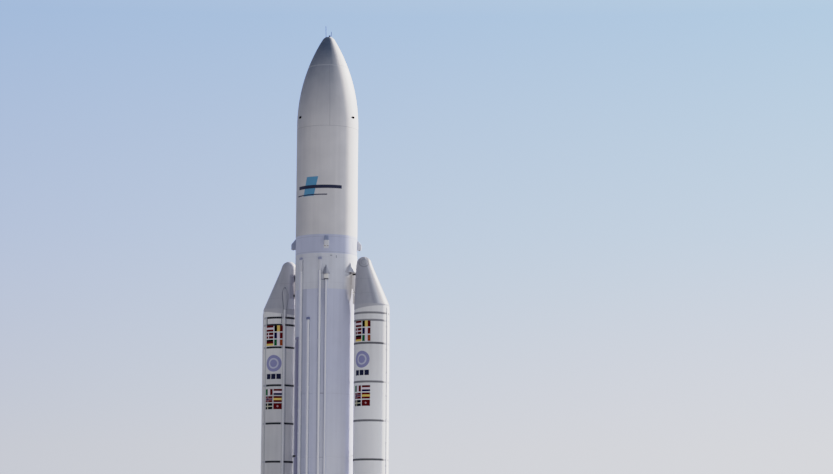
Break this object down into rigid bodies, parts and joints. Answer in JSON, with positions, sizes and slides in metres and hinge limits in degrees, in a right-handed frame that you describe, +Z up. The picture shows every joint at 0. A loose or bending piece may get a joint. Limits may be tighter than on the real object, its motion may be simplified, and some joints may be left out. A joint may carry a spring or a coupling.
{
  "type": "space rocket, 1:2 scale model",
  "caption": "Heavy launcher at half scale: a core stage with an opening payload fairing, two strap-on boosters and swivelling nozzles.",
  "frame": {"origin": "on the core stage's axis, at the height of the booster skirts' feet", "axes": "+Z up along the core stage, the boosters at +X and -X, -Y the side of the cable ducts"},
  "size_m": [6.27, 2.8352, 26.2992],
  "materials": {
    "tank_paint": "matt white foam cover with a lavender tint",
    "skirt_paint": "satin white paint",
    "bay_paint": "satin lavender-grey paint",
    "pod_paint": "satin white paint",
    "fairing_paint": "satin white paint on a composite shell",
    "duct_paint": "satin white paint",
    "booster_duct_paint": "satin white paint",
    "booster_paint": "satin white paint",
    "case_paint": "satin white paint on steel, with dark joint bands",
    "dark_metal": "dark satin metal",
    "base_foil": "pale quilted heat blanket",
    "bare_metal": "machined metal",
    "engine_metal": "brushed engine metal",
    "nozzle_metal": "heat-stained tube wall",
    "nozzle_carbon": "matt dark carbon"
  },
  "bodies": {
    "launcher": {"main_tank": "tank_paint", "forward_skirt": "skirt_paint", "equipment_bay": "bay_paint", "thruster_pod_1": "pod_paint", "thruster_pod_2": "pod_paint", "thruster_pod_3": "pod_paint", "thruster_pod_4": "pod_paint", "payload_adapter": "bare_metal", "core_duct_1": "duct_paint", "core_duct_2": "duct_paint", "core_duct_3": "duct_paint", "core_duct_4": "duct_paint", "vent_line": "duct_paint", "thrust_frame": "base_foil", "base_heat_shield": "base_foil", "booster_1_nose_cone": "booster_paint", "booster_1_motor_case": "case_paint", "booster_1_aft_skirt": "booster_paint", "booster_1_outer_duct": "booster_duct_paint", "booster_1_inner_duct": "booster_duct_paint", "booster_1_side_duct": "booster_duct_paint", "booster_1_upper_link": "dark_metal", "booster_1_middle_link": "dark_metal", "booster_1_lower_link": "dark_metal", "booster_1_rear_struts": "dark_metal", "booster_2_nose_cone": "booster_paint", "booster_2_motor_case": "case_paint", "booster_2_aft_skirt": "booster_paint", "booster_2_outer_duct": "booster_duct_paint", "booster_2_inner_duct": "booster_duct_paint", "booster_2_side_duct": "booster_duct_paint", "booster_2_upper_link": "dark_metal", "booster_2_middle_link": "dark_metal", "booster_2_lower_link": "dark_metal", "booster_2_rear_struts": "dark_metal"},
    "engine_gimbal": {"engine_gimbal_ring": "bare_metal"},
    "main_engine": {"engine_chamber": "engine_metal", "main_nozzle": "nozzle_metal"},
    "booster_1_gimbal": {"booster_1_gimbal_ring": "bare_metal"},
    "booster_1_nozzle_unit": {"booster_1_nozzle": "nozzle_carbon"},
    "booster_2_gimbal": {"booster_2_gimbal_ring": "bare_metal"},
    "booster_2_nozzle_unit": {"booster_2_nozzle": "nozzle_carbon"},
    "fairing_far": {"fairing_half_far": "fairing_paint", "finial_far": "dark_metal"},
    "fairing_near": {"fairing_half_near": "fairing_paint", "finial_near": "dark_metal"}
  },
  "joints": [
    {"name": "engine_swing_x", "type": "hinge", "parent": "launcher", "child": "engine_gimbal", "pos_m": [0, 0, 2.375], "axis": [1, 0, 0], "range_deg": [-7, 7]},
    {"name": "engine_swing_y", "type": "hinge", "parent": "engine_gimbal", "child": "main_engine", "pos_m": [0, 0, 2.375], "axis": [0, 1, 0], "range_deg": [-7, 7]},
    {"name": "booster_1_swing_x", "type": "hinge", "parent": "launcher", "child": "booster_1_gimbal", "pos_m": [2.285, 0, 1.6], "axis": [1, 0, 0], "range_deg": [-6, 6]},
    {"name": "booster_1_swing_y", "type": "hinge", "parent": "booster_1_gimbal", "child": "booster_1_nozzle_unit", "pos_m": [2.285, 0, 1.6], "axis": [0, 1, 0], "range_deg": [-6, 6]},
    {"name": "booster_2_swing_x", "type": "hinge", "parent": "launcher", "child": "booster_2_gimbal", "pos_m": [-2.285, 0, 1.6], "axis": [1, 0, 0], "range_deg": [-6, 6]},
    {"name": "booster_2_swing_y", "type": "hinge", "parent": "booster_2_gimbal", "child": "booster_2_nozzle_unit", "pos_m": [-2.285, 0, 1.6], "axis": [0, 1, 0], "range_deg": [-6, 6]},
    {"name": "fairing_far_slide", "type": "slide", "parent": "launcher", "child": "fairing_far", "axis": [0.8339, 0.5519, 0], "range_m": [0, 1.5]},
    {"name": "fairing_near_slide", "type": "slide", "parent": "launcher", "child": "fairing_near", "axis": [-0.8339, -0.5519, 0], "range_m": [0, 1.5]}
  ]
}
